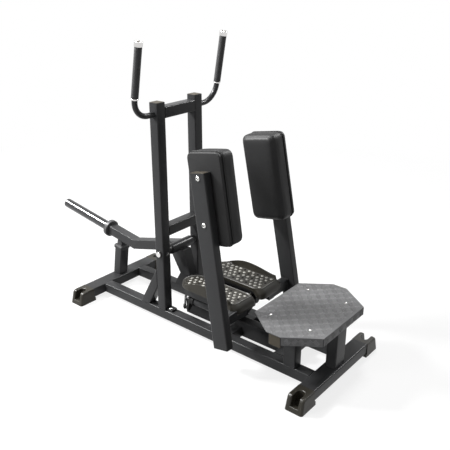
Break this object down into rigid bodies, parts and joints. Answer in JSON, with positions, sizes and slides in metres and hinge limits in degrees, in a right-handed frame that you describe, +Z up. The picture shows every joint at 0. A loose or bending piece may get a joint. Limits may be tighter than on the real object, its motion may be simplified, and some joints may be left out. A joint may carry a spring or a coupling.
{
  "type": "standing hip abductor machine",
  "caption": "Plate-loaded standing hip abductor: foot pedals and thigh pads on two outward-swinging levers, linked to a rear weight arm, with handlebars and a front step.",
  "frame": {"origin": "on the floor, under the middle of the bounding box", "axes": "+Z up, +Y the way the user faces, towards the weight arm, +X to the user's right"},
  "size_m": [0.624, 1.8005, 1.3462],
  "materials": {
    "charcoal_paint": "satin powder coat",
    "chrome": "polished",
    "grey_paint": "satin",
    "tread_plate": "satin, raised tread",
    "brown_black_moulding": "matte moulded",
    "black_rubber": "matte",
    "black_vinyl": "grained vinyl over foam",
    "pad_board": "matte",
    "machined_steel": "machined"
  },
  "bodies": {
    "base": {"arm_axle": "chrome", "bumper_post": "charcoal_paint", "center_beam": "charcoal_paint", "front_crossbar": "charcoal_paint", "front_hinge_bracket": "charcoal_paint", "front_left_foot_cap": "brown_black_moulding", "front_right_foot_cap": "brown_black_moulding", "front_step_post": "charcoal_paint", "left_grip": "black_rubber", "left_grip_cap": "chrome", "left_handlebar": "charcoal_paint", "left_rail": "charcoal_paint", "left_rear_brace": "charcoal_paint", "left_upright": "charcoal_paint", "left_upright_plug": "brown_black_moulding", "lower_crossmember": "charcoal_paint", "rear_crossbar": "charcoal_paint", "rear_hinge_bracket": "charcoal_paint", "rear_left_foot_cap": "brown_black_moulding", "rear_right_foot_cap": "brown_black_moulding", "right_grip": "black_rubber", "right_grip_cap": "chrome", "right_handlebar": "charcoal_paint", "right_rail": "charcoal_paint", "right_rear_brace": "charcoal_paint", "right_upright": "charcoal_paint", "right_upright_plug": "brown_black_moulding", "rubber_bumper": "black_rubber", "step_bolt_1": "chrome", "step_bolt_2": "chrome", "step_bolt_3": "chrome", "step_bolt_4": "chrome", "step_plate": "tread_plate", "step_support": "charcoal_paint", "upper_crossmember": "charcoal_paint"},
    "weight_arm": {"arm_sleeve": "charcoal_paint", "weight_arm": "charcoal_paint", "drop_arm": "charcoal_paint", "weight_horn": "chrome", "horn_collar": "grey_paint", "drop_pin": "machined_steel"},
    "right_leg": {"right_leg_frame": "charcoal_paint", "right_hinge_shaft": "machined_steel", "right_crank": "charcoal_paint", "right_pedal": "brown_black_moulding", "right_lever": "charcoal_paint", "right_lever_plug": "brown_black_moulding", "right_pad_board": "pad_board", "right_pad_cushion": "black_vinyl"},
    "left_leg": {"left_leg_frame": "charcoal_paint", "left_hinge_shaft": "machined_steel", "left_crank": "charcoal_paint", "left_pedal": "brown_black_moulding", "left_lever": "charcoal_paint", "left_lever_plug": "brown_black_moulding", "left_pad_board": "pad_board", "left_pad_cushion": "black_vinyl"},
    "right_link": {"right_link_rod": "charcoal_paint"},
    "left_link": {"left_link_rod": "charcoal_paint"}
  },
  "joints": [
    {"name": "right_leg_hinge", "type": "hinge", "parent": "base", "child": "right_leg", "pos_m": [0.097, -0.255, 0.156], "axis": [0, 1, 0], "range_deg": [0, 28]},
    {"name": "left_leg_hinge", "type": "hinge", "parent": "base", "child": "left_leg", "pos_m": [-0.097, -0.255, 0.156], "axis": [0, -1, 0], "range_deg": [0, 28]},
    {"name": "weight_arm_hinge", "type": "hinge", "parent": "base", "child": "weight_arm", "pos_m": [0, 0.023, 0.3615], "axis": [1, 0, 0], "range_deg": [0, 6.6]},
    {"name": "right_link_pivot", "type": "hinge", "parent": "right_leg", "child": "right_link", "pos_m": [0.1215, -0.111, 0.1215], "axis": [0.017, -0.8975, -0.4408], "range_deg": [0, 28.3]},
    {"name": "left_link_pivot", "type": "hinge", "parent": "left_leg", "child": "left_link", "pos_m": [-0.1215, -0.111, 0.1215], "axis": [0.017, 0.8975, 0.4408], "range_deg": [0, 28.3]}
  ],
  "couplings": [
    {"joint": "left_leg_hinge", "follows": "right_leg_hinge", "ratio": 1},
    {"joint": "weight_arm_hinge", "follows": "right_leg_hinge", "ratio": 0.232},
    {"joint": "right_link_pivot", "follows": "right_leg_hinge", "ratio": 1.004},
    {"joint": "left_link_pivot", "follows": "right_leg_hinge", "ratio": 1.004}
  ]
}
